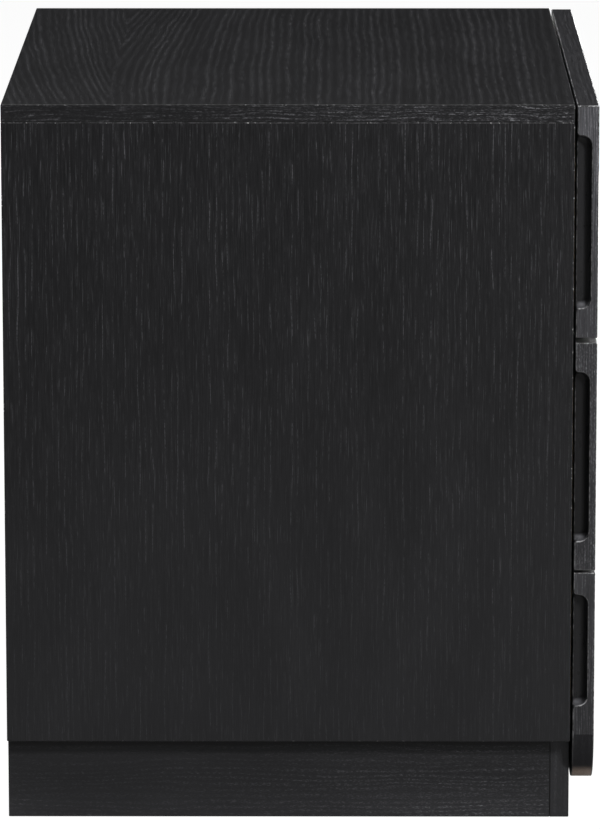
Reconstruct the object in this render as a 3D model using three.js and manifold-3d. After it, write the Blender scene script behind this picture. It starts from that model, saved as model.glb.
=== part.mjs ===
// A nightstand with three drawers: a black-stained oak case on a recessed plinth, and three overlay
// drawer fronts whose side edges are scooped out as finger pulls. Each drawer is a dovetailed box on
// a pair of three-part ball-bearing slides.
//
// Millimetres, +Z up. The drawers open towards -Y. The origin is on the floor, under the middle of
// the whole piece. Every sub-part of the left half is drawn at -X, and the right half mirrors it.
import * as THREE from "three";
import { mergeVertices } from "three/addons/utils/BufferGeometryUtils.js";
import Module from "manifold-3d";

const wasm = await Module();
wasm.setup();

// ---- Overall size ----
const WIDTH = 610;
const DEPTH = 492;
const HEIGHT = 610;

// ---- Board thicknesses ----
const TOP_THICK = 15;
const SIDE_THICK = 18;
const BOTTOM_THICK = 15;
const BACK_THICK = 6;
const FRONT_THICK = 18;
const RAIL_THICK = 15;
const PLINTH_THICK = 16;
const BOX_THICK = 12;
const BOX_BOTTOM_THICK = 6;

// ---- Case ----
const FRONT_REVEAL = 2; // between the closed fronts and the case
const CASE_FOOT = 71; // underside of the case above the floor
const BACK_REBATE = 8; // how far the back panel is let into each side
const BACK_RECESS = 6; // back panel below the rear edges
const RAIL_DEPTH = 60;

// ---- Plinth ----
const PLINTH_INSET = 18; // behind each side of the case
const GLIDE_RADIUS = 12;
const GLIDE_HEIGHT = 6;
const PLINTH_LIFT = 1; // the plinth hangs this far off the floor, on the glides
const CORNER_BLOCK = 36;

// ---- Drawers, from the top: the limits of each front, and the box behind it ----
const DRAWERS = [
  { number: 1, front: [415, 609], boxBottom: 432, boxHeight: 140, pull: [440, 584], corner: 0 },
  { number: 2, front: [218, 411], boxBottom: 236, boxHeight: 140, pull: [243, 386], corner: 0 },
  { number: 3, front: [30, 216], boxBottom: 98, boxHeight: 104, pull: [102, 197], corner: 50 },
];
const RAILS = [
  { name: "divider_rail_upper", middle: 413 },
  { name: "divider_rail_lower", middle: 217 },
];

// ---- Finger pull: a scoop let into the side edge of a front, open at the back ----
const PULL_REACH = 12; // from the back of the front
const PULL_DEPTH = 10; // from the side edge
const PULL_CORNER = 8;
const PULL_COVE = 6; // where its walls meet its floor
const PULL_MOUTH = 3; // where its ends run out at the back of the front

// ---- Drawer box ----
const BOX_DEPTH = 454;
const SLIDE_SPACE = 13; // between the case side and the box
const GROOVE_DEPTH = 5;
const GROOVE_LIFT = 10; // box bottom above the lower edge
const GROOVE_CLEARANCE = 0.25;
const TAIL_PITCH = 35; // about one dovetail in each
const PIN_WIDTH = 8; // between two tails, at the end of the side
const TAIL_SLOPE = 1 / 6;
const TAIL_CLEARANCE = 0.15;

// ---- Slides: folded channels. Web and lip are distances from the inner face of the case side ----
const SLIDE_LENGTH = 450;
const SLIDE_SETBACK = 2; // behind the front edge of the case
const SLIDE_CENTRE = 45; // above the lower edge of the box
const SHEET = 1.25;
const FOLD_RADIUS = 0.75; // on the inside of a fold
const HOOK = 3; // turned in along the free edge of each lip
const MEMBERS = {
  case: { web: 0, lip: 10.5, halfHeight: 22.5, holeRadius: 2.5, holes: [37, 197, 357] },
  middle: { web: 3, lip: 11.25, halfHeight: 18, holeRadius: 5, holes: [90, 225, 360] },
  drawer: { web: 13, lip: 5.5, halfHeight: 13.5, holeRadius: 2.5, holes: [40, 200, 360] },
};

// ---- Places worked out from the sizes ----
const HALF_WIDTH = WIDTH / 2;
const BACK_Y = DEPTH / 2;
const FRONTS_BACK_Y = FRONT_THICK - DEPTH / 2; // rear face of the closed fronts
const CASE_FRONT_Y = FRONTS_BACK_Y + FRONT_REVEAL;
const CASE_TOP = HEIGHT - TOP_THICK; // upper edge of the sides
const INNER_X = HALF_WIDTH - SIDE_THICK;
const BACK_PANEL_Y = [BACK_Y - BACK_RECESS - BACK_THICK, BACK_Y - BACK_RECESS];
const PLINTH_X = HALF_WIDTH - PLINTH_INSET;
const PLINTH_INNER_X = PLINTH_X - PLINTH_THICK;
const PLINTH_Z = [PLINTH_LIFT, CASE_FOOT];
const BOX_X = INNER_X - SLIDE_SPACE;
const HALVES = [
  { side: "left", mirror: 1 },
  { side: "right", mirror: -1 },
];

// ---- Materials ----
const blackOak = new THREE.MeshStandardMaterial({ color: 0x28282a, roughness: 0.5, metalness: 0 });
const blackBoard = new THREE.MeshStandardMaterial({ color: 0x1f1f20, roughness: 0.7, metalness: 0 });
const birch = new THREE.MeshStandardMaterial({ color: 0xc9a77c, roughness: 0.55, metalness: 0 });
const plywood = new THREE.MeshStandardMaterial({ color: 0xd2b48c, roughness: 0.6, metalness: 0 });
const steel = new THREE.MeshStandardMaterial({ color: 0x8d9094, roughness: 0.35, metalness: 0.9 });
const nylon = new THREE.MeshStandardMaterial({ color: 0x1a1a1a, roughness: 0.5, metalness: 0 });

// ---- Geometry helpers ----

// A closed solid, for cutting, from a three.js geometry.
function solidOf(geometry) {
  const bare = geometry.clone();
  bare.deleteAttribute("normal");
  bare.deleteAttribute("uv");
  const merged = mergeVertices(bare, 1e-4);
  return new wasm.Manifold(
    new wasm.Mesh({
      numProp: 3,
      vertProperties: merged.attributes.position.array,
      triVerts: new Uint32Array(merged.index.array),
    }),
  );
}

// A flat-shaded geometry from a solid.
function geometryOf(solid) {
  const { vertProperties, triVerts } = solid.getMesh();
  const indexed = new THREE.BufferGeometry();
  indexed.setAttribute("position", new THREE.BufferAttribute(vertProperties, 3));
  indexed.setIndex(new THREE.BufferAttribute(triVerts, 1));
  const flat = indexed.toNonIndexed();
  flat.computeVertexNormals();
  return flat;
}

// The geometry left when each tool is cut out of the stock.
function cut(stock, tools) {
  return geometryOf(tools.reduce((left, tool) => left.subtract(solidOf(tool)), solidOf(stock)));
}

// A block that fills the space between three pairs of limits.
function block([x0, x1], [y0, y1], [z0, z1]) {
  const shape = new THREE.BoxGeometry(x1 - x0, y1 - y0, z1 - z0);
  return shape.translate((x0 + x1) / 2, (y0 + y1) / 2, (z0 + z1) / 2);
}

// A closed outline through the points.
function outline(points) {
  return new THREE.Shape(points.map(([u, v]) => new THREE.Vector2(u, v)));
}

// An outline in Y and Z, extruded towards +X from x.
function alongX(shape, x, length, options = {}) {
  const made = new THREE.ExtrudeGeometry(shape, { depth: length, bevelEnabled: false, ...options });
  const axes = [new THREE.Vector3(0, 1, 0), new THREE.Vector3(0, 0, 1), new THREE.Vector3(1, 0, 0)];
  return made.applyMatrix4(new THREE.Matrix4().makeBasis(...axes)).translate(x, 0, 0);
}

// An outline in X and Z, extruded towards -Y from y.
function alongMinusY(shape, y, length, options = {}) {
  const made = new THREE.ExtrudeGeometry(shape, { depth: length, bevelEnabled: false, ...options });
  const axes = [new THREE.Vector3(1, 0, 0), new THREE.Vector3(0, 0, 1), new THREE.Vector3(0, -1, 0)];
  return made.applyMatrix4(new THREE.Matrix4().makeBasis(...axes)).translate(0, y, 0);
}

// A named mesh.
function piece(name, geometry, material) {
  const mesh = new THREE.Mesh(geometry, material);
  mesh.name = name;
  return mesh;
}

// A named board that fills the space between three pairs of limits.
function board(name, material, [x0, x1], [y0, y1], [z0, z1]) {
  const mesh = piece(name, new THREE.BoxGeometry(x1 - x0, y1 - y0, z1 - z0), material);
  mesh.position.set((x0 + x1) / 2, (y0 + y1) / 2, (z0 + z1) / 2);
  return mesh;
}

// A group that holds the left half's pieces, mirrored for the right half.
function halfGroup(mirror, pieces) {
  const group = new THREE.Group();
  group.scale.x = mirror;
  return group.add(...pieces);
}

// ---- Case ----

// A side panel with the rebate that the back panel sits in.
function sidePanel(side) {
  const plan = outline([
    [-HALF_WIDTH, CASE_FRONT_Y],
    [-INNER_X, CASE_FRONT_Y],
    [-INNER_X, BACK_PANEL_Y[0]],
    [-INNER_X - BACK_REBATE, BACK_PANEL_Y[0]],
    [-INNER_X - BACK_REBATE, BACK_Y],
    [-HALF_WIDTH, BACK_Y],
  ]);
  const height = CASE_TOP - CASE_FOOT;
  const panel = piece(
    `side_panel_${side}`,
    new THREE.ExtrudeGeometry(plan, { depth: height, bevelEnabled: false }),
    blackOak,
  );
  panel.position.z = CASE_FOOT;
  return panel;
}

function caseBoards() {
  const across = [-INNER_X, INNER_X];
  const backAcross = [-INNER_X - BACK_REBATE, INNER_X + BACK_REBATE];
  const bottomY = [CASE_FRONT_Y, BACK_PANEL_Y[0]];
  const boards = [
    board("top_panel", blackOak, [-HALF_WIDTH, HALF_WIDTH], [CASE_FRONT_Y, BACK_Y], [CASE_TOP, HEIGHT]),
    board("bottom_panel", blackBoard, across, bottomY, [CASE_FOOT, CASE_FOOT + BOTTOM_THICK]),
    board("back_panel", blackBoard, backAcross, BACK_PANEL_Y, [CASE_FOOT, CASE_TOP]),
  ];
  for (const { name, middle } of RAILS) {
    const railZ = [middle - RAIL_THICK / 2, middle + RAIL_THICK / 2];
    boards.push(board(name, blackOak, across, [CASE_FRONT_Y, CASE_FRONT_Y + RAIL_DEPTH], railZ));
  }
  return boards;
}

// ---- Plinth: the front board runs across the ends of the side boards, the back board between them ----

function plinthFrontAndBack() {
  const frontY = [CASE_FRONT_Y, CASE_FRONT_Y + PLINTH_THICK];
  const backY = [BACK_Y - PLINTH_THICK, BACK_Y];
  return [
    board("plinth_front", blackOak, [-PLINTH_X, PLINTH_X], frontY, PLINTH_Z),
    board("plinth_back", blackOak, [-PLINTH_INNER_X, PLINTH_INNER_X], backY, PLINTH_Z),
  ];
}

// One side board with its two corner blocks, and a nylon glide under each block.
function plinthSide(side) {
  const behindFront = CASE_FRONT_Y + PLINTH_THICK;
  const pieces = [
    board(`plinth_${side}`, blackOak, [-PLINTH_X, -PLINTH_INNER_X], [behindFront, BACK_Y], PLINTH_Z),
  ];
  const blockX = [-PLINTH_INNER_X, CORNER_BLOCK - PLINTH_INNER_X];
  const corners = [
    { end: "front", y: behindFront },
    { end: "rear", y: BACK_Y - PLINTH_THICK - CORNER_BLOCK },
  ];
  for (const { end, y } of corners) {
    const blockZ = [GLIDE_HEIGHT, CASE_FOOT];
    pieces.push(board(`corner_block_${end}_${side}`, birch, blockX, [y, y + CORNER_BLOCK], blockZ));
    const disc = new THREE.CylinderGeometry(GLIDE_RADIUS, GLIDE_RADIUS, GLIDE_HEIGHT, 24);
    const glide = piece(`glide_${end}_${side}`, disc.rotateX(Math.PI / 2), nylon);
    glide.position.set(blockX[0] + CORNER_BLOCK / 2, y + CORNER_BLOCK / 2, GLIDE_HEIGHT / 2);
    pieces.push(glide);
  }
  return pieces;
}

// ---- Slides ----

// A channel's section: its web stands at 0, and its lips reach as far as the depth.
function channelSection(depth, halfHeight) {
  const outer = FOLD_RADIUS + SHEET;
  const quarter = Math.PI / 2;
  const [near, far] = [outer, depth - outer];
  const [low, high] = [outer - halfHeight, halfHeight - outer];
  const hookEnd = halfHeight - HOOK;
  const shape = new THREE.Shape();
  shape.absarc(near, low, outer, 2 * quarter, 3 * quarter);
  shape.absarc(far, low, outer, 3 * quarter, 4 * quarter);
  shape.lineTo(depth, -hookEnd);
  shape.lineTo(depth - SHEET, -hookEnd);
  shape.absarc(far, low, FOLD_RADIUS, 4 * quarter, 3 * quarter, true);
  shape.absarc(near, low, FOLD_RADIUS, 3 * quarter, 2 * quarter, true);
  shape.absarc(near, high, FOLD_RADIUS, 2 * quarter, quarter, true);
  shape.absarc(far, high, FOLD_RADIUS, quarter, 0, true);
  shape.lineTo(depth - SHEET, hookEnd);
  shape.lineTo(depth, hookEnd);
  shape.absarc(far, high, outer, 0, quarter);
  shape.absarc(near, high, outer, quarter, 2 * quarter);
  return shape;
}

// A channel with its screw holes, from y = 0 to the slide's length.
function slideMember(name, { web, lip, halfHeight, holeRadius, holes }) {
  const section = channelSection(Math.abs(lip - web), halfHeight);
  const channel = alongMinusY(section, 0, SLIDE_LENGTH, { curveSegments: 4 });
  if (lip < web) {
    channel.rotateZ(Math.PI); // its lips face the case
  } else {
    channel.translate(0, SLIDE_LENGTH, 0);
  }
  channel.translate(web, 0, 0);
  const drills = holes.map((y) => {
    const drill = new THREE.CylinderGeometry(holeRadius, holeRadius, 4 * SHEET, 12);
    return drill.rotateZ(Math.PI / 2).translate(web, y, 0);
  });
  return piece(name, cut(channel, drills), steel);
}

// The three members of one slide, at the left of a drawer.
function slide(number, side, z) {
  const names = {
    case: `slide_case_${number}_${side}`,
    middle: `slide_middle_${number}_${side}`,
    drawer: `slide_drawer_${number}_${side}`,
  };
  return Object.keys(MEMBERS).map((key) => {
    const member = slideMember(names[key], MEMBERS[key]);
    member.position.set(-INNER_X, CASE_FRONT_Y + SLIDE_SETBACK, z);
    return member;
  });
}

// ---- Drawers: y runs back from the front end of the box, z up from its lower edge ----

// The front's outline in X and Z, with its lower corners rounded.
function frontOutline(z0, z1, corner) {
  const shape = new THREE.Shape();
  shape.moveTo(HALF_WIDTH, z1);
  shape.lineTo(-HALF_WIDTH, z1);
  if (corner > 0) {
    shape.absarc(corner - HALF_WIDTH, z0 + corner, corner, Math.PI, 1.5 * Math.PI);
    shape.absarc(HALF_WIDTH - corner, z0 + corner, corner, 1.5 * Math.PI, 2 * Math.PI);
  } else {
    shape.lineTo(-HALF_WIDTH, z0);
    shape.lineTo(HALF_WIDTH, z0);
  }
  return shape;
}

// The tool that scoops out a finger pull, with y = 0 at the back of the front. It stands out past
// the edge and the back of the front.
function pullTool(z0, z1, mirror) {
  const beyond = 20;
  const left = PULL_CORNER - PULL_REACH;
  const quarter = Math.PI / 2;
  const shape = new THREE.Shape();
  shape.absarc(left, z1 - PULL_CORNER, PULL_CORNER, quarter, 2 * quarter);
  shape.absarc(left, z0 + PULL_CORNER, PULL_CORNER, 2 * quarter, 3 * quarter);
  shape.absarc(-PULL_MOUTH, z0 - PULL_MOUTH, PULL_MOUTH, quarter, 0, true);
  shape.lineTo(beyond, z0 - PULL_MOUTH);
  shape.lineTo(beyond, z1 + PULL_MOUTH);
  shape.absarc(-PULL_MOUTH, z1 + PULL_MOUTH, PULL_MOUTH, 4 * quarter, 3 * quarter, true);
  const cove = {
    bevelEnabled: true,
    bevelThickness: PULL_COVE,
    bevelSize: PULL_COVE,
    bevelOffset: -PULL_COVE,
    bevelSegments: 5,
    curveSegments: 5,
  };
  const floor = HALF_WIDTH - PULL_DEPTH;
  const body = PULL_DEPTH + beyond;
  return mirror > 0
    ? alongX(shape, -floor - PULL_COVE - body, body, cove)
    : alongX(shape, floor + PULL_COVE, body, cove);
}

function drawerFront({ number, front, boxBottom, pull, corner }) {
  const [z0, z1] = front.map((z) => z - boxBottom);
  const [pull0, pull1] = pull.map((z) => z - boxBottom);
  const panel = alongMinusY(frontOutline(z0, z1, corner), 0, FRONT_THICK, { curveSegments: 10 });
  const tools = HALVES.map(({ mirror }) => pullTool(pull0, pull1, mirror));
  return piece(`drawer_front_${number}`, cut(panel, tools), blackOak);
}

// The heights of the tails on a box side: [half width at the end, half width at the shoulder, middle].
function tails(boxHeight) {
  const count = Math.round(boxHeight / TAIL_PITCH);
  const pitch = boxHeight / count;
  const halfEnd = (pitch - PIN_WIDTH) / 2;
  const halfShoulder = halfEnd - BOX_THICK * TAIL_SLOPE;
  return Array.from({ length: count }, (_, i) => ({ halfEnd, halfShoulder, middle: (i + 0.5) * pitch }));
}

// The space that the box bottom needs in the four boards around it.
function bottomGroove() {
  const x = BOX_X - BOX_THICK + GROOVE_DEPTH + GROOVE_CLEARANCE;
  const y = BOX_THICK - GROOVE_DEPTH - GROOVE_CLEARANCE;
  const z = [GROOVE_LIFT - GROOVE_CLEARANCE, GROOVE_LIFT + BOX_BOTTOM_THICK + GROOVE_CLEARANCE];
  return block([-x, x], [y, BOX_DEPTH - y], z);
}

// A side of the box, with dovetails at both ends.
function boxSide(number, side, boxHeight) {
  const toothed = tails(boxHeight).flatMap(({ halfEnd, halfShoulder, middle }) => [
    [BOX_THICK, middle - halfShoulder],
    [0, middle - halfEnd],
    [0, middle + halfEnd],
    [BOX_THICK, middle + halfShoulder],
  ]);
  const frontEnd = [[BOX_THICK, 0], ...toothed, [BOX_THICK, boxHeight]];
  const rearEnd = frontEnd.map(([y, z]) => [BOX_DEPTH - y, z]).reverse();
  // The outline runs up the front end, so it is clockwise; Shape turns it round when it extrudes.
  const stock = alongX(outline([...frontEnd, ...rearEnd]), -BOX_X, BOX_THICK);
  return piece(`drawer_side_${number}_${side}`, cut(stock, [bottomGroove()]), birch);
}

// The front or the back of the box: pins at both ends, cut by the tails of the sides.
function boxEnd(name, boxHeight, isBack) {
  const past = 1; // how far each tool stands out of the board
  const sockets = tails(boxHeight).flatMap(({ halfEnd, halfShoulder, middle }) => {
    const end = halfEnd + past * TAIL_SLOPE + TAIL_CLEARANCE;
    const shoulder = halfShoulder - past * TAIL_SLOPE + TAIL_CLEARANCE;
    const corners = [
      [-past, middle - end],
      [BOX_THICK + past, middle - shoulder],
      [BOX_THICK + past, middle + shoulder],
      [-past, middle + end],
    ];
    const placed = corners.map(([y, z]) => [isBack ? BOX_DEPTH - y : y, z]);
    const shape = outline(placed);
    const length = BOX_THICK + past;
    return [alongX(shape, -BOX_X - past, length), alongX(shape, BOX_X - BOX_THICK, length)];
  });
  const y = isBack ? BOX_DEPTH - BOX_THICK : 0;
  const stock = block([-BOX_X, BOX_X], [y, y + BOX_THICK], [0, boxHeight]);
  return piece(name, cut(stock, [...sockets, bottomGroove()]), birch);
}

function boxBottom(number) {
  const x = BOX_X - BOX_THICK + GROOVE_DEPTH;
  const y = BOX_THICK - GROOVE_DEPTH;
  const z = [GROOVE_LIFT, GROOVE_LIFT + BOX_BOTTOM_THICK];
  return board(`drawer_bottom_${number}`, plywood, [-x, x], [y, BOX_DEPTH - y], z);
}

// One drawer without its slides, placed in the case.
function drawer(spec) {
  const { number, boxHeight } = spec;
  const group = new THREE.Group();
  group.position.set(0, FRONTS_BACK_Y, spec.boxBottom);
  group.add(drawerFront(spec));
  group.add(boxEnd(`drawer_box_front_${number}`, boxHeight, false));
  group.add(boxEnd(`drawer_box_back_${number}`, boxHeight, true));
  group.add(boxBottom(number));
  for (const { side, mirror } of HALVES) {
    group.add(halfGroup(mirror, [boxSide(number, side, boxHeight)]));
  }
  return group;
}

// ---- The nightstand ----
const nightstand = new THREE.Group();
nightstand.add(...caseBoards(), ...plinthFrontAndBack());
for (const { side, mirror } of HALVES) {
  nightstand.add(halfGroup(mirror, [sidePanel(side), ...plinthSide(side)]));
}
for (const spec of DRAWERS) {
  nightstand.add(drawer(spec));
  for (const { side, mirror } of HALVES) {
    nightstand.add(halfGroup(mirror, slide(spec.number, side, spec.boxBottom + SLIDE_CENTRE)));
  }
}

export default nightstand;
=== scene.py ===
import math
import random

import bmesh
import bpy
from mathutils import Matrix, Vector


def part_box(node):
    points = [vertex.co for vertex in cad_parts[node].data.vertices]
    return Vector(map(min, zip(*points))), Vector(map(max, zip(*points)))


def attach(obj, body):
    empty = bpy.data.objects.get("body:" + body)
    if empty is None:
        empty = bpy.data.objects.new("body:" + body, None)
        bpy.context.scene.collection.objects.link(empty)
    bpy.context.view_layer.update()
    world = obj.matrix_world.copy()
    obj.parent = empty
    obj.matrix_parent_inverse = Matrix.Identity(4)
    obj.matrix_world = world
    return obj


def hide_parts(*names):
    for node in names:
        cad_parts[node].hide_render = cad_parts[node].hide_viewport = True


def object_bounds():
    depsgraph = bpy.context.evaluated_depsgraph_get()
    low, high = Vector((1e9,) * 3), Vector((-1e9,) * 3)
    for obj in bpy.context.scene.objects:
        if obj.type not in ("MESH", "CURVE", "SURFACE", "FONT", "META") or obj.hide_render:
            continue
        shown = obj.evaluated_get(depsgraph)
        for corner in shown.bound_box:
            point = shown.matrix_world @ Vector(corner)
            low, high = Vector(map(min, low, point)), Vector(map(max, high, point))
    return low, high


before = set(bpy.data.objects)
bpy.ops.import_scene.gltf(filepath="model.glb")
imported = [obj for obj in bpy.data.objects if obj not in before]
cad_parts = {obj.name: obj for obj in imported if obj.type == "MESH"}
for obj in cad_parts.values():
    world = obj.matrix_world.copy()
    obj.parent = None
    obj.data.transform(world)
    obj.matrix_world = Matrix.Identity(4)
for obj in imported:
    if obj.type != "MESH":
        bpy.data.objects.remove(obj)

CAD_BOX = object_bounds()
MM = 0.001
DRAWERS = (1, 2, 3)  # from the top
SIDES = {"left": -1, "right": 1}  # and which way each lies along X

# The axis that the grain runs along, on the faces that look along each axis.
UPRIGHT = {"X": "Z", "Y": "Z", "Z": "Y"}
LENGTHWISE = {"X": "Y", "Y": "X", "Z": "Y"}
CROSSWISE = {"X": "Z", "Y": "X", "Z": "X"}
TOP_GRAIN = {"X": "Y", "Y": "X", "Z": "X"}

# The finger pulls and the lowest front's corners, as in the CAD model.
PULLS = {1: (440 * MM, 584 * MM), 2: (243 * MM, 386 * MM), 3: (102 * MM, 197 * MM)}  # lower and upper end
PULL_REACH = 12 * MM  # from the back of the front
PULL_DEPTH = 10 * MM  # from the side edge
PULL_CORNER = 8 * MM
PULL_COVE = 6 * MM  # where the walls meet the floor
PULL_MOUTH = 3 * MM  # where the ends run out at the back of the front
LOWEST_FRONT = 3
LOWER_CORNER = 50 * MM

BACKWARD = Vector((0, 1, 0))

# The material slots of a board, and the further ones of a drawer front.
FACE, ARRIS, END, LIP, POCKET, CURVE = range(6)


# ---- Camera, light and floor ----

def add_camera():
    """The photograph's view: square to the left side, from a little above."""
    turn, tilt, roll = 0.332, 11.309, -0.039  # degrees from +X towards +Y, below level, and about the view
    data = bpy.data.cameras.new("camera")
    data.lens = 261.3
    camera = bpy.data.objects.new("camera", data)
    camera.matrix_world = (
        Matrix.Translation((-5.1981, -0.0283, 1.3291))
        @ Matrix.Rotation(math.radians(turn - 90), 4, "Z")
        @ Matrix.Rotation(math.radians(90 - tilt), 4, "X")
        @ Matrix.Rotation(math.radians(roll), 4, "Z")
    )
    bpy.context.scene.collection.objects.link(camera)
    bpy.context.scene.camera = camera


def add_area_light(name, place, target, size, power):
    """A square soft box that faces its target."""
    data = bpy.data.lights.new(name, "AREA")
    data.size = size
    data.energy = power
    light = bpy.data.objects.new(name, data)
    light.location = place
    light.rotation_euler = (Vector(target) - Vector(place)).to_track_quat("-Z", "Y").to_euler()
    bpy.context.scene.collection.objects.link(light)


def add_lights():
    """Soft boxes that face the middle of the piece, each with its place, size and power."""
    middle = (0, 0, 0.3)
    lights = {
        "overhead": ((0.2, 0.3, 3.2), 2.4, 62),
        "left_key": ((-3.1, -1.9, 2.4), 0.6, 105),
        "front_key": ((-0.6, -3.2, 1.6), 1.6, 60),
        "rear_fill": ((1.6, 3.0, 1.4), 2.0, 30),
        "right_fill": ((2.2, -2.6, 2.2), 1.6, 6),
        "right_low": ((3.2, -0.4, 0.32), 0.55, 22),
    }
    for name, (place, size, power) in lights.items():
        add_area_light(name, place, middle, size, power)


def add_world():
    """A grey studio: dim near the horizon and brighter overhead."""
    world = bpy.data.worlds.new("studio")
    world.use_nodes = True
    nodes, links = world.node_tree.nodes, world.node_tree.links
    background = nodes["Background"]
    direction = nodes.new("ShaderNodeTexCoord")
    split = nodes.new("ShaderNodeSeparateXYZ")
    fade = nodes.new("ShaderNodeMapRange")
    fade.interpolation_type = "SMOOTHSTEP"
    heights_and_strengths = {"From Min": 0.15, "From Max": 0.9, "To Min": 0.095, "To Max": 0.42}
    for setting, value in heights_and_strengths.items():
        fade.inputs[setting].default_value = value
    links.new(direction.outputs["Generated"], split.inputs[0])
    links.new(split.outputs["Z"], fade.inputs["Value"])
    links.new(fade.outputs["Result"], background.inputs["Strength"])
    bpy.context.scene.world = world


def floor_material():
    """Near-white. Where the camera sees it, a share of it glows, so that it fades to white and keeps only
    a faint shadow under the piece."""
    glow_strength, glow_share = 1.35, 0.7
    material = bpy.data.materials.new("floor")
    material.use_nodes = True
    nodes, links = material.node_tree.nodes, material.node_tree.links
    matt = nodes["Principled BSDF"]
    matt.inputs["Base Color"].default_value = grey(0.55)
    matt.inputs["Roughness"].default_value = 0.9
    matt.inputs["Specular IOR Level"].default_value = 0.1
    glow = nodes.new("ShaderNodeEmission")
    glow.inputs["Strength"].default_value = glow_strength
    seen = nodes.new("ShaderNodeLightPath")
    share = nodes.new("ShaderNodeMath")
    share.operation = "MULTIPLY"
    share.inputs[1].default_value = glow_share
    blend = nodes.new("ShaderNodeMixShader")
    links.new(seen.outputs["Is Camera Ray"], share.inputs[0])
    links.new(share.outputs[0], blend.inputs[0])
    links.new(matt.outputs[0], blend.inputs[1])
    links.new(glow.outputs[0], blend.inputs[2])
    links.new(blend.outputs[0], nodes["Material Output"].inputs["Surface"])
    return material


def add_floor():
    """A plain pale floor, which fills the picture."""
    half_width = 30
    mesh = bpy.data.meshes.new("floor")
    work = bmesh.new()
    bmesh.ops.create_grid(work, x_segments=1, y_segments=1, size=half_width)
    work.to_mesh(mesh)
    work.free()
    floor = bpy.data.objects.new("floor", mesh)
    bpy.context.scene.collection.objects.link(floor)
    mesh.materials.append(floor_material())


# ---- Materials ----

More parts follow.
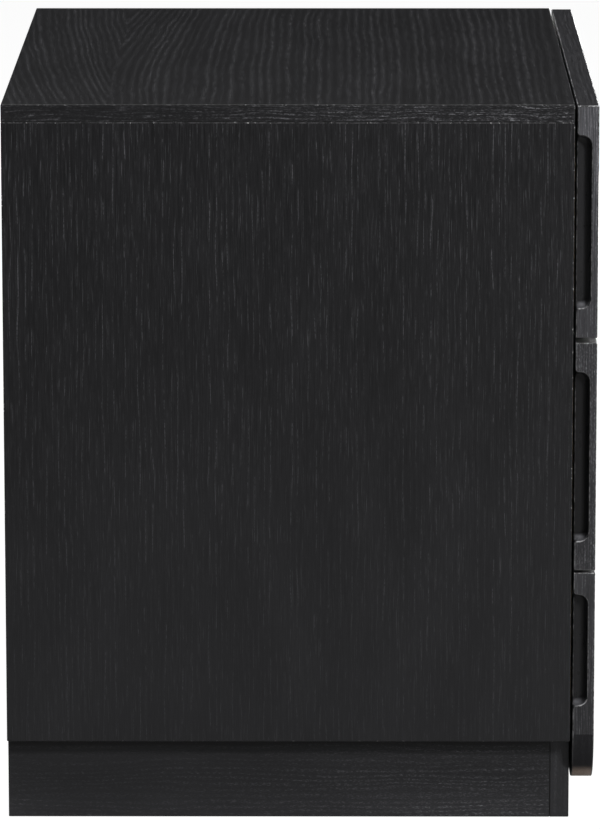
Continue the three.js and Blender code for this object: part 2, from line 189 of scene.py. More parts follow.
class Shader:
    """A material under construction. Most methods add nodes to it and return an output."""

    def __init__(self, name, **inputs):
        self.material = bpy.data.materials.new(name)
        self.material.use_nodes = True
        self.tree = self.material.node_tree
        self.principled = self.tree.nodes["Principled BSDF"]
        self.set(**inputs)
        coordinates = self.tree.nodes.new("ShaderNodeTexCoord")
        self.normal = coordinates.outputs["Normal"]
        self.place = self.scale(coordinates.outputs["Object"], (1 / MM, 1 / MM, 1 / MM))  # millimetres

    def feed(self, socket, value):
        """Links an output to a socket, or sets the socket to a plain value."""
        if isinstance(value, bpy.types.NodeSocket):
            self.tree.links.new(value, socket)
        else:
            socket.default_value = value

    def set(self, **inputs):
        """Sets inputs of the main shader, with underscores for the spaces in their names."""
        names = {key.lower().replace(" ", "_"): key for key in self.principled.inputs.keys()}
        for name, value in inputs.items():
            self.feed(self.principled.inputs[names[name]], value)

    def math(self, operation, *values):
        """Arithmetic on numbers."""
        node = self.tree.nodes.new("ShaderNodeMath")
        node.operation = operation
        for socket, value in zip(node.inputs, values):
            self.feed(socket, value)
        return node.outputs[0]

    def times(self, a, b):
        return self.math("MULTIPLY", a, b)

    def plus(self, a, b):
        return self.math("ADD", a, b)

    def vector_math(self, operation, *values):
        """Arithmetic on vectors."""
        node = self.tree.nodes.new("ShaderNodeVectorMath")
        node.operation = operation
        for socket, value in zip(node.inputs, values):
            self.feed(socket, value)
        return node.outputs[0]

    def scale(self, vector, factors):
        return self.vector_math("MULTIPLY", vector, factors)

    def split(self, vector):
        """The parts of a vector, by the letters of its axes."""
        node = self.tree.nodes.new("ShaderNodeSeparateXYZ")
        self.feed(node.inputs[0], vector)
        return dict(zip("XYZ", node.outputs))

    def join(self, *values):
        """A vector from its parts."""
        node = self.tree.nodes.new("ShaderNodeCombineXYZ")
        for socket, value in zip(node.inputs, values):
            self.feed(socket, value)
        return node.outputs[0]

    def noise(self, vector, size, detail=2.0, roughness=0.5):
        """Smooth noise, about 0.5. size is how big its features are: one number, or one for each axis."""
        if size != 1:
            sizes = size if isinstance(size, tuple) else (size, size, size)
            vector = self.scale(vector, tuple(1 / each for each in sizes))
        node = self.tree.nodes.new("ShaderNodeTexNoise")
        node.inputs["Scale"].default_value = 1
        node.inputs["Detail"].default_value = detail
        node.inputs["Roughness"].default_value = roughness
        self.feed(node.inputs["Vector"], vector)
        return node.outputs["Fac"]

    def step(self, value, low, high, to_low=0.0, to_high=1.0):
        """A smooth step between two values of the input."""
        node = self.tree.nodes.new("ShaderNodeMapRange")
        node.interpolation_type = "SMOOTHSTEP"
        settings = (("From Min", low), ("From Max", high), ("To Min", to_low), ("To Max", to_high))
        for name, setting in settings:
            node.inputs[name].default_value = setting
        self.feed(node.inputs["Value"], value)
        return node.outputs["Result"]

    def mix(self, kind, factor, a, b):
        """Mixes two colours (RGBA), vectors (VECTOR) or numbers (FLOAT)."""
        node = self.tree.nodes.new("ShaderNodeMix")
        node.data_type = kind
        index = {"FLOAT": (2, 3, 0), "VECTOR": (4, 5, 1), "RGBA": (6, 7, 2)}[kind]
        self.feed(node.inputs[0], factor)
        self.feed(node.inputs[index[0]], a)
        self.feed(node.inputs[index[1]], b)
        return node.outputs[index[2]]

    def shade(self, colour, value):
        """A colour times a number."""
        shaded = self.mix("RGBA", 1.0, colour, self.join(value, value, value))
        shaded.node.blend_type = "MULTIPLY"
        return shaded

    def step_along(self, axis, low, high, at_low, at_high):
        """A smooth step between two places on an axis, in millimetres."""
        return self.step(self.split(self.place)[axis], low, high, at_low, at_high)

    def looks_along(self, facing):
        """One where a face looks along an axis, within about 45 degrees. facing is its normal's part."""
        return self.math("GREATER_THAN", self.math("ABSOLUTE", facing), 0.7)

    def bump(self, height, distance, strength):
        """The normal of a surface with this height, times a distance in metres."""
        node = self.tree.nodes.new("ShaderNodeBump")
        node.inputs["Distance"].default_value = distance
        node.inputs["Strength"].default_value = strength
        self.feed(node.inputs["Height"], height)
        return node.outputs["Normal"]

    def grain_space(self, grain, shift):
        """Millimetres along the grain, across it and into the board. grain gives, for faces that look
        along each axis, the axis that their grain runs along."""
        place = self.split(self.place)
        facing = self.split(self.normal)
        spaces = {}
        for normal, along in grain.items():
            across = next(axis for axis in "ZYX" if axis not in (normal, along))
            spaces[normal] = self.join(place[along], place[across], place[normal])
        vector = spaces["Z"]
        for normal in "XY":
            vector = self.mix("VECTOR", self.looks_along(facing[normal]), vector, spaces[normal])
        return self.vector_math("ADD", vector, shift)


def grey(value, blue=1.0):
    """A grey, with its blue channel times a number."""
    return (value, value, value * blue, 1)


def bent_grain(s, vector, bend, wobble):
    """Distances along the grain and across it, once long bends and small ones are put in the grain."""
    length, breadth, swing = bend
    parts = s.split(vector)
    long_bend = s.plus(s.noise(vector, (length, breadth, breadth), 1), -0.5)
    small_bend = s.plus(s.noise(vector, (60, 14, 14), 1), -0.5)
    across = s.plus(s.plus(parts["Y"], s.times(long_bend, swing)), s.times(small_bend, wobble))
    return parts["X"], across


def cathedral(s, along, across, axis, below, above):
    """Distance across the rings of a cathedral pattern. axis is its place across the grain, and below and
    above give the lean, curve, reach and closeness of the rings on each side of it."""
    roundness = 4.0  # of the rings' turn at the axis
    off = s.plus(across, -axis)
    squared = s.times(off, off)
    is_above = s.math("GREATER_THAN", off, 0.0)
    rises = []
    for lean, curve, reach, _ in (below, above):
        rise = s.times(along, s.plus(s.times(along, curve), lean))
        rises.append(s.math("DIVIDE", rise, s.plus(s.times(squared, 1 / reach**2), 1.0)))
    rings = s.math("SQRT", s.plus(squared, roundness))
    rings = s.plus(rings, s.mix("FLOAT", is_above, *rises))
    return s.times(rings, s.mix("FLOAT", is_above, below[-1], above[-1]))


def black_oak(name, grain, shift=(0, 0, 0), *, lines, specks, spacing=5.0, width=0.8, cover=0.5, run=30,
              bands=0.1, fibres=0.3, strays=0.5, bend=(250, 80, 12), wobble=2.5, arch=None, tone=1.0,
              pale=0.085, grain_by=None, tone_by=(), painted_reflection_by=None, gloss=0.22):
    """Open-grain oak stained black, with paler pores in broken lines along the growth rings.

    Sizes are in millimetres, and shift moves the pattern. lines, specks and bands say how much shows of
    the lines in the rings, of the finest pores and of the soft bands along the rings. spacing and width
    are those of the lines, cover is the share of their length that is filled, and run is how far a
    stretch runs. fibres is how much the wood between them varies, and strays how strong the lines off
    the rings are. bend gives how far along and across the grain its bends run and how wide they are, and
    wobble is the width of the small bends. arch gives a cathedral pattern, as its function takes it. tone
    is the brightness of the whole, and pale that of the pores. grain_by changes the strength of the grain
    along an axis: its letter, two places on it, and the share at each. The boards use it to paint light
    on the grain. tone_by is a list of such ramps for the tone, which paint light and shade, and
    painted_reflection_by is
    one for a painted reflection: a warm brown that takes the place of the stain."""
    s = Shader(name, specular_ior_level=gloss, ior=1.5)
    vector = s.grain_space(grain, shift)
    along, across = bent_grain(s, vector, bend, wobble)
    rings = cathedral(s, along, across, *arch) if arch else across

    # The rings are unevenly wide. Each has a number, which gives it a strength of its own and its own
    # stretches, filled or empty.
    phase = s.times(rings, 1 / spacing)
    uneven = s.noise(s.join(s.times(phase, 0.37), 0.5, 0.5), 1, 0)
    phase = s.plus(phase, s.times(uneven, 1.3))
    ring = s.math("FLOOR", phase)
    off_line = s.math("ABSOLUTE", s.plus(s.math("FRACT", phase), -0.5))
    strength = s.noise(s.join(s.times(ring, 5.17), 0.5, 0.5), 1, 0)
    strength = s.step(strength, 0.25, 0.75, 0.35, 1.0)
    stretch = s.noise(s.join(s.times(along, 1 / run), s.times(ring, 7.31), 0.5), 1, 2, 0.6)
    filled = s.step(stretch, 0.62 - 0.24 * cover, 0.71 - 0.24 * cover)

    # The lines in the rings, of short beads, the lines off the rings, the bands and the finest pores.
    beads = s.noise(s.join(s.times(along, 1 / 2.0), s.times(ring, 3.73), s.times(across, 0.8)), 1, 1)
    beads = s.step(beads, 0.35, 0.62, 0.15, 1.0)
    core = s.step(s.times(off_line, spacing), width / 2 - 0.2, width / 2 + 0.25, 1.0, 0.0)
    line = s.times(s.times(core, filled), s.times(strength, beads))
    stray = s.step(s.noise(vector, (run, 0.7, 0.7), 2, 0.6), 0.6, 0.74, 0.0, strays)
    line = s.math("MAXIMUM", line, stray)
    band = s.times(strength, s.step(stretch, 0.3, 0.6, 0.4, 1.0))
    band = s.times(s.step(off_line, 0.08, 0.44, 1.0, 0.0), band)
    fine = s.step(s.noise(vector, (2.4, 0.6, 0.6), 2, 0.6), 0.5, 0.74)
    speck = s.times(fine, s.plus(s.times(band, 0.8), 0.2))
    share = s.plus(s.times(band, bands), s.plus(s.times(line, lines), s.times(speck, specks)))

    # The wood between them, and how grain and tone change over the board.
    fibre = s.step(s.noise(vector, (30, 0.9, 0.9), 2, 0.6), 0.32, 0.68, -fibres, fibres)
    if grain_by:
        fade = s.step_along(*grain_by)
        share, fibre = s.times(share, fade), s.times(fibre, fade)
    cloud = s.step(s.noise(vector, (140, 45, 45), 2), 0.2, 0.8, 0.86, 1.14)
    for ramp in tone_by:
        cloud = s.times(cloud, s.step_along(*ramp))
    cloud = s.times(cloud, s.plus(fibre, 1.0))
    colour = s.mix("RGBA", share, grey(0.01 * tone, 1.09), grey(pale * tone, 1.07))
    # A painted warm reflection, which takes the place of the stain where painted_reflection_by says.
    if painted_reflection_by:
        colour = s.mix("RGBA", s.step_along(*painted_reflection_by), colour, (0.22, 0.17, 0.14, 1))
    s.set(base_color=s.shade(colour, cloud))
    s.set(roughness=s.step(share, 0, 1, 0.42, 0.6))
    height = s.plus(s.times(line, -0.8), s.times(speck, -0.5))
    s.set(normal=s.bump(height, 0.00025, 0.35))
    return s.material


def lacquer(name, tone):
    """The smooth sprayed black inside a finger pull, with a pale painted highlight, partly a dusty film,
    where it looks up.
    """
    s = Shader(name, specular_ior_level=0.15)
    mottle = s.noise(s.place, (6, 6, 12), 4, 0.6)
    fibre = s.noise(s.place, (0.8, 0.8, 14), 2)
    colour = s.mix("RGBA", mottle, grey(0.019 * tone, 1.06), grey(0.028 * tone, 1.06))
    # A painted highlight on faces that look up, such as the lower end's cove, partly a dusty film.
    dust_and_highlight = s.times(s.step(s.split(s.normal)["Z"], 0.15, 0.7), s.step(mottle, 0.3, 0.7, 0.5, 1.0))
    s.set(base_color=s.mix("RGBA", dust_and_highlight, colour, grey(0.16, 1.08)))
    s.set(roughness=s.step(mottle, 0.3, 0.7, 0.26, 0.38))
    s.set(normal=s.bump(fibre, 0.00006, 0.3))
    return s.material


def worn_edge(name, level, cover, upright, gloss=0.3, more_by=None, chips=0.0):
    """The arris of a black board: rubbed paler in places, less where it stands upright, and not
    underneath. level is how pale the rubbed places are, cover how much of the arris they take, and
    upright their share where it stands upright. chips is how bright the small chips are. more_by gives
    an axis, two places on it, and the share of the rubbing and of the chips that shows at each. A high
    level, as on the drawer fronts, also paints a highlight along the arris."""
    s = Shader(name, specular_ior_level=gloss, roughness=0.6 - 0.4 * gloss)
    facing = s.split(s.normal)
    rub = s.noise(s.place, 5, 4, 0.7)
    rub = s.step(rub, 0.66 - 0.3 * cover, 0.86 - 0.3 * cover)
    rub = s.times(rub, s.step(facing["Z"], 0.05, 0.5, upright, 1.0))
    rub = s.times(rub, s.step(facing["Z"], -0.25, -0.05))
    chip = s.step(s.noise(s.place, 1.9, 1), 0.66, 0.73, 0.0, chips)
    if more_by:
        more = s.step_along(*more_by)
        rub, chip = s.times(rub, more), s.times(chip, more)
    colour = s.mix("RGBA", rub, grey(0.009, 1.06), grey(level, 1.03))
    s.set(base_color=s.mix("RGBA", chip, colour, grey(0.75)))
    return s.material


def black_board():
    """Smooth board with a black matt face."""
    s = Shader("black_board", specular_ior_level=0.25)
    mottle = s.noise(s.place, 30, 4, 0.6)
    peel = s.noise(s.place, 1.2, 2)
    s.set(base_color=s.mix("RGBA", s.step(mottle, 0.3, 0.7), grey(0.010), grey(0.016)))
    s.set(roughness=s.step(mottle, 0.3, 0.7, 0.55, 0.7))
    s.set(normal=s.bump(peel, 0.00008, 0.4))
    return s.material


def birch(name, along, tint=1.0):
    """Pale close-grained wood. Its ends, which look along the grain, are darker."""
    s = Shader(name, specular_ior_level=0.4)
    across = [axis for axis in "XYZ" if axis != along]
    place, facing = s.split(s.place), s.split(s.normal)
    vector = s.join(place[along], place[across[0]], place[across[1]])
    bend = s.times(s.plus(s.noise(vector, (220, 50, 50), 1), -0.5), 30)

    # Rings about the heart of the tree, which lies outside the board. Late wood is the dark part of each.
    ring_width, heart = 4.2, (90.0, 70.0)
    parts = s.split(vector)
    squares = [s.math("POWER", s.plus(parts[axis], away), 2.0) for axis, away in zip("YZ", heart)]
    radius = s.math("SQRT", s.plus(*squares))
    rings = s.math("FRACT", s.times(s.plus(radius, bend), 1 / ring_width))
    late = s.times(s.step(rings, 0.3, 0.9), s.step(rings, 0.92, 1.0, 1.0, 0.0))

    fibre = s.noise(vector, (14, 0.45, 0.45), 3, 0.6)
    fleck = s.step(s.noise(vector, (5, 0.7, 0.7), 1), 0.66, 0.76)
    depth = s.plus(s.times(late, 0.35), s.times(s.step(fibre, 0.3, 0.7), 0.35))
    depth = s.plus(depth, s.times(fleck, 0.35))
    pale = (0.62 * tint, 0.44 * tint, 0.255 * tint, 1)
    deep = (0.41 * tint, 0.255 * tint, 0.125 * tint, 1)
    # The ends are darker, partly as end grain is and partly a painted shade, dark enough to stand for the
    # shade in the gaps behind the drawer fronts.
    end_grain_and_shade = (0.17 * tint, 0.095 * tint, 0.045 * tint, 1)
    at_end = s.times(s.looks_along(facing[along]), s.step(fibre, 0.2, 0.7, 0.8, 1.0))
    s.set(base_color=s.mix("RGBA", at_end, s.mix("RGBA", depth, pale, deep), end_grain_and_shade))
    s.set(roughness=s.step(fibre, 0.2, 0.8, 0.42, 0.58))
    s.set(normal=s.bump(s.plus(fibre, s.times(fleck, -0.6)), 0.00012, 0.35))
    return s.material


def zinc():
    """Bright zinc-plated sheet, rolled along Y, with fine lines along it."""
    s = Shader("zinc", metallic=1.0)
    roll = s.noise(s.place, (0.25, 60, 0.25), 3, 0.6)
    cloud = s.noise(s.place, (18, 25, 18), 3)
    colour = s.mix("RGBA", s.step(cloud, 0.3, 0.7), (0.50, 0.52, 0.55, 1), (0.60, 0.60, 0.58, 1))
    s.set(base_color=colour)
    s.set(roughness=s.plus(s.step(roll, 0.25, 0.75, 0.2, 0.34), s.step(cloud, 0.3, 0.7, 0.0, 0.08)))
    s.set(normal=s.bump(roll, 0.00004, 0.3))
    return s.material


def hard_steel():
    """Clean bright steel, for the screws and balls."""
    s = Shader("hard_steel", metallic=1.0)
    cloud = s.noise(s.place, 3, 2)
    s.set(base_color=s.mix("RGBA", cloud, (0.5, 0.5, 0.51, 1), (0.64, 0.64, 0.64, 1)))
    s.set(roughness=s.step(cloud, 0.3, 0.7, 0.14, 0.26))
    return s.material


def nylon():
    """Black moulded nylon, finely grained, for the glides."""
    s = Shader("nylon", specular_ior_level=0.45)
    grainy = s.noise(s.place, 0.6, 3)
    s.set(base_color=s.mix("RGBA", grainy, grey(0.012), grey(0.022)))
    s.set(roughness=s.step(grainy, 0.3, 0.7, 0.4, 0.55))
    s.set(normal=s.bump(grainy, 0.00005, 0.4))
    return s.material


# ---- Boards from the CAD model ----

def round_arrises(piece, width, segments, angle):
    """Rounds the edges that are sharper than an angle in degrees, and gives them the second material."""
    bevel = piece.modifiers.new("arris", "BEVEL")
    bevel.width = width
    bevel.segments = segments
    bevel.limit_method = "ANGLE"
    bevel.angle_limit = math.radians(angle)
    bevel.material = ARRIS
    return bevel


def keep_faces_flat(piece):
    """Shades large flat faces flat, and the rounding between them smooth."""
    normals = piece.modifiers.new("normals", "WEIGHTED_NORMAL")
    normals.keep_sharp = True


def finish_board(node, material, arris, edge=None, ends=None):
    """Gives a CAD board its material and rounds its arrises, which may differ, as may the faces that look
    along X."""
    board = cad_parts[node]
    board.data.materials.clear()
    for part in (material, edge or material, ends or material):
        board.data.materials.append(part)
    for polygon in board.data.polygons:
        polygon.use_smooth = True
        looks_along_x = abs(polygon.normal.x) > 0.9
        polygon.material_index = END if looks_along_x else FACE
    weld = board.modifiers.new("weld", "WELD")
    weld.merge_threshold = 0.001 * MM
    flat = board.modifiers.new("flat", "DECIMATE")
    flat.decimate_type = "DISSOLVE"
    flat.angle_limit = math.radians(1)
    if arris:
        round_arrises(board, arris, 2, 35)
    keep_faces_flat(board)


# ---- Drawer fronts ----

def arc(centre, radius, start, end, steps):
    """Points on an arc, in degrees, both ends included."""
    angles = [math.radians(start + (end - start) * i / steps) for i in range(steps + 1)]
    return [(centre[0] + radius * math.cos(a), centre[1] + radius * math.sin(a)) for a in angles]


def bridge_rows(work, rows):
    """Faces between each ring of vertices and the next, and a cap on the first and the last."""
    count = len(rows[0])
    for low, high in zip(rows, rows[1:]):
        for i in range(count):
            j = (i + 1) % count
            work.faces.new((low[i], low[j], high[j], high[i]))
    work.faces.new(rows[0][::-1])
    work.faces.new(rows[-1])


def loft(rings, name):
    """A closed piece through rings of points, capped at both ends."""
    work = bmesh.new()
    bridge_rows(work, [[work.verts.new(point) for point in ring] for ring in rings])
    bmesh.ops.recalc_face_normals(work, faces=work.faces)
    mesh = bpy.data.meshes.new(name)
    work.to_mesh(mesh)
    work.free()
    made = bpy.data.objects.new(name, mesh)
    bpy.context.scene.collection.objects.link(made)
    return made


def front_slab(name, low, high, corner):
    """The front before its finger pulls, with its lower corners rounded."""
    outline = [(low.x, low.z), (high.x, low.z)]
    if corner:
        outline = arc((low.x + corner, low.z + corner), corner, 180, 270, 28)
        outline += arc((high.x - corner, low.z + corner), corner, 270, 360, 28)
    outline += [(high.x, high.z), (low.x, high.z)]
    return loft([[(x, y, z) for x, z in outline] for y in (low.y, high.y)], name)


def pull_tool(back, side, low, high):
    """What is scooped out for a finger pull. It stands out past the edge and the back of the front."""
    beyond, steps, cove_steps = 20 * MM, 9, 8
    profile = [(0, -beyond)]
    for inset, rise in arc((PULL_COVE, 0), PULL_COVE, 180, 90, cove_steps):
        profile.append((inset, PULL_DEPTH - PULL_COVE + rise))
    rings = []
    for inset, deep in profile:
        turn = back - PULL_REACH + PULL_CORNER
        outline = arc((turn, high - PULL_CORNER), PULL_CORNER - inset, 90, 180, steps)
        outline += arc((turn, low + PULL_CORNER), PULL_CORNER - inset, 180, 270, steps)
        outline += arc((back - PULL_MOUTH, low - PULL_MOUTH), PULL_MOUTH + inset, 90, 0, steps)
        outline += [(back + beyond, low - PULL_MOUTH), (back + beyond, high + PULL_MOUTH)]
        outline += arc((back - PULL_MOUTH, high + PULL_MOUTH), PULL_MOUTH + inset, 0, -90, steps)
        x = side * (CAD_BOX[1].x - deep)
        rings.append([(x, y, z) for y, z in outline])
    return loft(rings, "pull")


def front_material(polygon, low, high, rounded):
    """Which material slot a face of a drawer front takes."""
    near = 0.1 * MM
    middle = polygon.center
    if middle.x < low.x + near or middle.x > high.x - near:
        return END
    if abs(middle.y - low.y) < near or abs(middle.y - high.y) < near:
        return FACE
    if middle.z > high.z - near:
        return LIP
    if middle.z < low.z + near:
        return CURVE if rounded else LIP
    return CURVE if rounded and middle.z < low.z + LOWER_CORNER else POCKET


def drawer_front(number, materials):
    """A drawer front with a finger pull scooped into each end. The lowest has rounded lower corners."""
    low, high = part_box(f"drawer_front_{number}")
    rounded = number == LOWEST_FRONT
    front = front_slab(f"front_{number}", low, high, LOWER_CORNER if rounded else 0)
    tools = [pull_tool(high.y, side, *PULLS[number]) for side in SIDES.values()]
    for tool in tools:
        cut = front.modifiers.new("pull", "BOOLEAN")
        cut.operation = "DIFFERENCE"
        cut.solver = "EXACT"
        cut.object = tool
    graph = bpy.context.evaluated_depsgraph_get()
    mesh = bpy.data.meshes.new_from_object(front.evaluated_get(graph))
    front.modifiers.clear()
    front.data = mesh
    for tool in tools:
        bpy.data.objects.remove(tool)
    mesh.materials.clear()
    for material in materials:
        mesh.materials.append(material)
    for polygon in mesh.polygons:
        polygon.use_smooth = True
        polygon.material_index = front_material(polygon, low, high, rounded)
    bevel = round_arrises(front, 0.9 * MM, 3, 40)
    bevel.use_clamp_overlap = False
    keep_faces_flat(front)
    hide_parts(f"drawer_front_{number}")
    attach(front, f"drawer_{number}")


# ---- Screws and ball cages ----

def add_hardware(work, name, body, materials):
    """Turns a bmesh into a smooth-shaded steel piece with sharp corners, which rides on a body."""
    bmesh.ops.recalc_face_normals(work, faces=work.faces)
    mesh = bpy.data.meshes.new(name)
    work.to_mesh(mesh)
    work.free()
    for polygon in mesh.polygons:
        polygon.use_smooth = True
    mesh.set_sharp_from_angle(angle=math.radians(32))
    for material in materials:
        mesh.materials.append(material)
    made = bpy.data.objects.new(name, mesh)
    bpy.context.scene.collection.objects.link(made)
    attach(made, body)


def cross_ring(arm, half_width):
    """A cross of 24 points, which start 15 degrees before its first arm."""
    middle = (arm + half_width) / 2
    quarter = [(arm, -half_width), (arm, 0), (arm, half_width)]
    quarter += [(middle, half_width), (half_width, half_width), (half_width, middle)]
    turns = [Matrix.Rotation(math.radians(90 * i), 2) for i in range(4)]
    return [turn @ Vector(point) for turn in turns for point in quarter]


def add_screw(work, place, out, radius, height):
    """A pan head with a cross recess, and the start of its shank. out is the way that the head looks."""
    circle = arc((0, 0), 1, -15, 330, 23)  # as many points as the cross has, from the same angle
    turn = out.to_track_quat("Z", "Y").to_matrix() @ Matrix.Rotation(random.uniform(0, math.tau), 3, "Z")
    # Shares of the radius and of the height, from the shank to the top of the head.
    profile = [(0.5, -0.6), (0.5, 0), (1, 0), (1, 0.3), (0.93, 0.62), (0.77, 0.86), (0.6, 0.96)]
    rings = [([Vector(point) * share for point in circle], rise) for share, rise in profile]
    mouth, floor = (cross_ring(0.48, 0.13), 1.0), (cross_ring(0.34, 0.09), 0.35)
    rings += [mouth, floor]
    rows = []
    for ring, rise in rings:
        points = [Vector((x * radius, y * radius, rise * height)) for x, y in ring]
        rows.append([work.verts.new(Vector(place) + turn @ point) for point in points])
    bridge_rows(work, rows)


def slide_screws(number, side, sign, steel):
    """The screws that hold a slide to the case and to the drawer box."""
    radius, height, sheet = 3.8 * MM, 1.3 * MM, 1.25 * MM
    members = {  # the body each rides on, the way its screws look, and their places from its front end
        "case": ("case", -sign, (37 * MM, 197 * MM, 357 * MM)),
        "drawer": (f"drawer_{number}", sign, (40 * MM, 200 * MM, 360 * MM)),
    }
    for member, (body, looks, holes) in members.items():
        low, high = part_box(f"slide_{member}_{number}_{side}")
        outer, inner = (low.x, high.x) if sign < 0 else (high.x, low.x)
        web = (outer if member == "case" else inner) + looks * sheet
        work = bmesh.new()
        for hole in holes:
            place = (web, low.y + hole, (low.z + high.z) / 2)
            add_screw(work, place, Vector((looks, 0, 0)), radius, height)
        add_hardware(work, f"slide_screws_{member}_{number}_{side}", body, (steel,))


def ball_cage(name, body, wall, sign, middle, materials, height, near, far, seat):
    """The two rows of balls between two members of a slide, each in a strip of sheet.

    In millimetres, height is the rows' distance from the slide's middle, near and far are the strip's
    two edges and seat is the balls' place, all three from the wall."""
    start, end, pitch, ball, half_sheet, crown = -215, -15, 20, 1.6, 0.25, 0.3
    section = [(near, -half_sheet), (far, -half_sheet), (far + crown, 0)]
    section += [(far, half_sheet), (near, half_sheet)]
    work = bmesh.new()
    for up in (-1, 1):
        rows = []
        for y in (start, end):
            points = [(wall - sign * u * MM, y * MM, middle + (up * height + v) * MM) for u, v in section]
            rows.append([work.verts.new(point) for point in points])
        bridge_rows(work, rows)
    strip_faces = len(work.faces)
    for up in (-1, 1):
        for y in range(start + pitch // 2, end, pitch):
            place = Matrix.Translation((wall - sign * seat * MM, y * MM, middle + up * height * MM))
            bmesh.ops.create_icosphere(work, subdivisions=2, radius=ball * MM, matrix=place)
    work.faces.ensure_lookup_table()
    for face in work.faces[strip_faces:]:
        face.material_index = 1  # the balls are of the second material
    add_hardware(work, name, body, materials)


def finish_slides(steel, sheet):
    """The screws and the ball cages of the six slides."""
    outer = {"height": 19.62, "near": 2.4, "far": 8.6, "seat": 6.0}
    inner = {"height": 15.12, "near": 4.9, "far": 9.4, "seat": 8.0}
    looks = (sheet, steel)
    for number in DRAWERS:
        for side, sign in SIDES.items():
            slide_screws(number, side, sign, steel)
            low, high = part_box(f"slide_case_{number}_{side}")
            wall, middle = (low.x if sign < 0 else high.x), (low.z + high.z) / 2
            place = (wall, sign, middle, looks)
            ball_cage(f"outer_cage_{number}_{side}", "case", *place, **outer)
            ball_cage(f"inner_cage_{number}_{side}", f"slide_middle_{number}_{side}", *place, **inner)


def box_screws(steel):
    """The screws that hold each front to its box, seen inside the drawer."""
    across, above_bottom, below_top = 190 * MM, 44 * MM, 28 * MM
    for number in DRAWERS:
        low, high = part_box(f"drawer_box_front_{number}")
        work = bmesh.new()
        for x in (-across, across):
            for z in (low.z + above_bottom, high.z - below_top):
                add_screw(work, (x, high.y, z), BACKWARD, radius=4.6 * MM, height=2.2 * MM)
        add_hardware(work, f"front_screws_{number}", f"drawer_{number}", (steel,))


def back_panel_screws(steel):
    """The screws around the back panel: five up each side, and three along its top and bottom."""
    low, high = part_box("back_panel")
    edge, from_corner, pitch = 4.5 * MM, 30 * MM, 180 * MM
    places = []
    for i in range(5):
        z = low.z + from_corner + i * (high.z - low.z - 2 * from_corner) / 4
        places += [(low.x + edge, z), (high.x - edge, z)]
    for i in (-1, 0, 1):
        places += [(i * pitch, low.z + edge), (i * pitch, high.z - edge)]
    work = bmesh.new()
    for x, z in places:
        add_screw(work, (x, high.y, z), BACKWARD, radius=3.2 * MM, height=1.6 * MM)
    add_hardware(work, "back_panel_screws", "case", (steel,))


def corner_block_screws(steel):
    """Two screws through each inner face of the plinth's corner blocks, at heights that miss each other."""
    radius, height, spread, offset = 3.6 * MM, 1.9 * MM, 14 * MM, 7 * MM
    work = bmesh.new()
    for end, inward in (("front", 1), ("rear", -1)):
        for side, sign in SIDES.items():
            low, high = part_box(f"corner_block_{end}_{side}")
            middle = (low + high) / 2
            x_face = high.x if sign < 0 else low.x
            y_face = high.y if inward > 0 else low.y
            for z in (middle.z - spread, middle.z + spread):
                add_screw(work, (x_face, middle.y, z), Vector((-sign, 0, 0)), radius, height)
                add_screw(work, (middle.x, y_face, z + offset), Vector((0, inward, 0)), radius, height)
    add_hardware(work, "corner_block_screws", "case", (steel,))


# ---- The nightstand ----

def finish_top():
    """The top panel, its worn arris, and the band that its edge shows at the sides, whose grain is painted
    brighter towards the front as painted light.
    """
    below = (-0.045, -0.00015, 70, 1.0)
    above = (-0.085, 0.000066, 300, 1.25)
    top = black_oak("oak_top", TOP_GRAIN, spacing=7.4, width=0.9, run=7, bands=0.09, lines=0.32,
                    specks=0.85, fibres=0.2, bend=(300, 130, 14), wobble=4.0, tone=0.93,
                    arch=(160, below, above))
    # Painted light: the band's grain is painted brighter towards the front, where more light falls.
    band = black_oak("oak_top_band", TOP_GRAIN, (0, 5, 0), spacing=3.0, width=0.5, run=5, bands=0.04,
                     lines=0.62, specks=0.62, bend=(60, 8, 10), wobble=1.5, pale=0.22,
                     grain_by=("Y", -210, 200, 1.3, 0.4))
    edge = worn_edge("worn_top_edge", level=0.42, cover=0.5, upright=0.9, chips=0.8,
                     more_by=("Y", -246, -200, 1.0, 0.25))
    finish_board("top_panel", top, arris=0.8 * MM, edge=edge, ends=band)


def finish_sides():
    """The side panels, with the worn seam under the top."""
    seam = worn_edge("worn_seam_edge", level=0.13, cover=0.85, upright=0.35, chips=0.75,
                     more_by=("Z", 60, 560, 0.2, 1.0))
    for side, sign in SIDES.items():
        # Painted light: the pale pores show more towards the top, as light from above glinting on them, and
        # the tone is painted lighter towards the floor, as light thrown up from it.
        oak = black_oak(f"oak_side_{side}", UPRIGHT, (210 * sign, 40 * sign, 0), spacing=5.2, width=0.38,
                        cover=0.6, run=24, bands=0.03, lines=0.82, specks=0.15, fibres=0.36, strays=0.55,
                        bend=(300, 60, 8), wobble=5.0, grain_by=("Z", 80, 600, 0.3, 1.2),
                        tone_by=[("Z", 60, 420, 1.45, 1.0)])
        finish_board(f"side_panel_{side}", oak, arris=0.6 * MM, edge=seam)


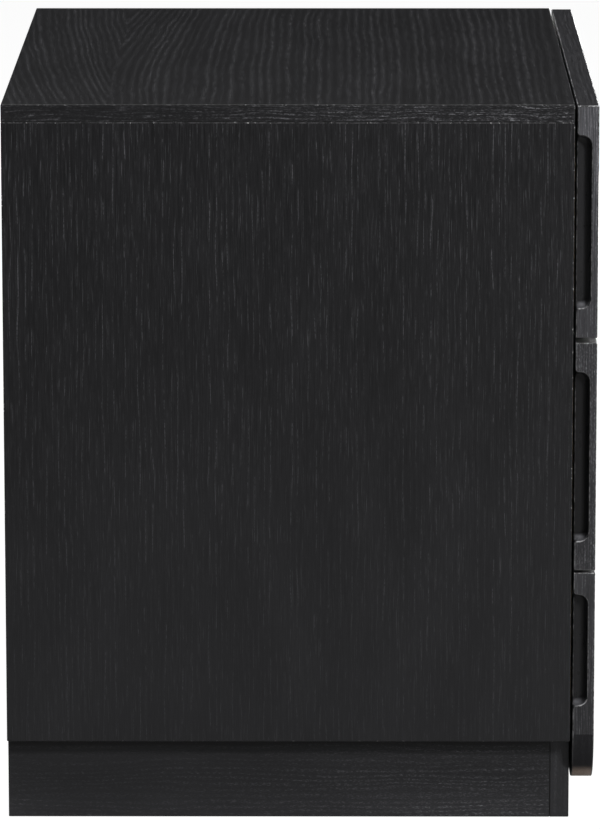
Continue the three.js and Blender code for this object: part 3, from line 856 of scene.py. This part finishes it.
def finish_plinth():
    """The plinth's boards, blocks and glides, and the rails, which are of the plinth's wood."""
    edge = worn_edge("worn_edge", level=0.14, cover=0.25, upright=0.3)
    for side, sign in SIDES.items():
        # Painted shade and light: a painted shadow darkens the top of each side under the case's overhang,
        # the lowest part is painted lighter as light thrown up from the floor, and the grain is painted
        # brighter towards the front.
        oak = black_oak(f"oak_plinth_{side}", LENGTHWISE, (77 * sign, 11 * sign, 0), spacing=4.5, width=0.5,
                        cover=0.45, run=3.5, bands=0.04, lines=0.35, specks=0.7, fibres=0.1, strays=0.35,
                        bend=(120, 20, 12), tone=1.75, grain_by=("Y", -200, 150, 1.0, 0.35),
                        tone_by=[("Z", 60, 65, 1.0, 0.3), ("Z", 0, 40, 1.55, 0.9)])
        finish_board(f"plinth_{side}", oak, arris=0.6 * MM, edge=edge)
    oak = black_oak("oak_plinth_front", CROSSWISE, (33, 90, 0), lines=0.3, specks=0.12, tone=2.0)
    plain = black_oak("oak_plinth_end", CROSSWISE, bands=0.02, lines=0.05, specks=0.2, fibres=0.1,
                      strays=0.1, tone=2.4)
    finish_board("plinth_front", oak, arris=0.6 * MM, edge=edge, ends=plain)
    finish_board("plinth_back", oak, arris=0.6 * MM, edge=edge)
    finish_board("divider_rail_upper", oak, arris=0.5 * MM, edge=edge)
    finish_board("divider_rail_lower", oak, arris=0.5 * MM, edge=edge)
    block = birch("birch_block", "Z", 0.8)
    glide = nylon()
    for end in ("front", "rear"):
        for side in SIDES:
            finish_board(f"corner_block_{end}_{side}", block, arris=1.0 * MM)
            finish_board(f"glide_{end}_{side}", glide, arris=0.8 * MM)


def finish_case():
    """The boards of the case, its plinth and rails included."""
    finish_top()
    finish_sides()
    finish_plinth()
    board = black_board()
    finish_board("bottom_panel", board, arris=0.4 * MM)
    finish_board("back_panel", board, arris=0.4 * MM)


def finish_fronts():
    """The drawer fronts. Their ends are painted lighter towards the top, within each front and from front
    to front, as painted light from above, and their finger pulls differ a little in tone from front to
    front.
    """
    # The fronts' arrises are pale, most where they look up: partly wear and partly a painted highlight of
    # the lights above.
    edge = worn_edge("front_edge_wear_and_highlight", level=0.5, cover=0.8, upright=0.3, gloss=0.8)
    lip = black_oak("oak_lip", CROSSWISE, (55, 20, 0), spacing=4.0, lines=0.2, specks=0.4, bands=0.03,
                    tone=2.0)
    # Painted reflection: towards the floor the curved corners are painted a warm pale brown, a warm
    # reflection from below.
    curve = black_oak("oak_curve", CROSSWISE, bands=0.02, lines=0.05, specks=0.1, fibres=0.12, strays=0.05,
                      tone=1.5, gloss=0.05, painted_reflection_by=("Z", 39, 48, 1.0, 0.0))
    pull_tones = {1: 1.0, 2: 0.55, 3: 0.75}
    # The ends are paler than the faces, partly a paler edge finish and partly a painted sheen, and their
    # tone is painted rising towards the top as painted light from above.
    end_tones_and_painted_light = {1: (3.8, 6.2), 2: (2.4, 3.3), 3: (2.0, 3.1)}  # at the front's lower and upper edge
    end_specks = {1: 0.2, 2: 0.8, 3: 0.2}
    slope = (-0.06, 0.0, 120, 1.0)
    for number in DRAWERS:
        low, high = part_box(f"drawer_front_{number}")
        oak = black_oak(f"oak_front_{number}", CROSSWISE, (400 * number, 0, 0), spacing=8.2, width=1.2,
                        cover=0.4, run=9, bands=0.12, lines=0.15, specks=0.4, bend=(300, 130, 18),
                        wobble=3.0, arch=(320, slope, slope), tone=1.25)
        # Painted light: the ends' tone rises from the lower edge to the upper one.
        end = black_oak(f"oak_end_{number}", CROSSWISE, (90 * number, 0, 0), spacing=2.2, width=0.7,
                        cover=0.6, bands=0.03, lines=0.25, specks=end_specks[number], fibres=0.35,
                        bend=(200, 60, 4), tone_by=[("Z", low.z / MM, high.z / MM, *end_tones_and_painted_light[number])])
        pocket = lacquer(f"pull_lacquer_{number}", pull_tones[number])
        drawer_front(number, (oak, edge, end, lip, pocket, curve))


def finish_boxes(sheet):
    """The drawer boxes, and the sheet members of their slides."""
    lengthwise = birch("birch_sides", "Y")
    crosswise = birch("birch_ends", "X")
    plywood = birch("plywood", "X", 1.08)
    for number in DRAWERS:
        finish_board(f"drawer_box_front_{number}", crosswise, arris=0.4 * MM)
        finish_board(f"drawer_box_back_{number}", crosswise, arris=0.4 * MM)
        finish_board(f"drawer_bottom_{number}", plywood, arris=0)
        for side in SIDES:
            finish_board(f"drawer_side_{number}_{side}", lengthwise, arris=0.4 * MM)
            for member in ("case", "middle", "drawer"):
                finish_board(f"slide_{member}_{number}_{side}", sheet, arris=0.15 * MM)


random.seed(610)  # for how far each screw is turned
bpy.context.scene.view_settings.view_transform = "Standard"
add_camera()
add_lights()
add_world()
add_floor()
finish_case()
finish_fronts()
sheet_steel = zinc()
finish_boxes(sheet_steel)
steel = hard_steel()
finish_slides(steel, sheet_steel)
box_screws(steel)
back_panel_screws(steel)
corner_block_screws(steel)
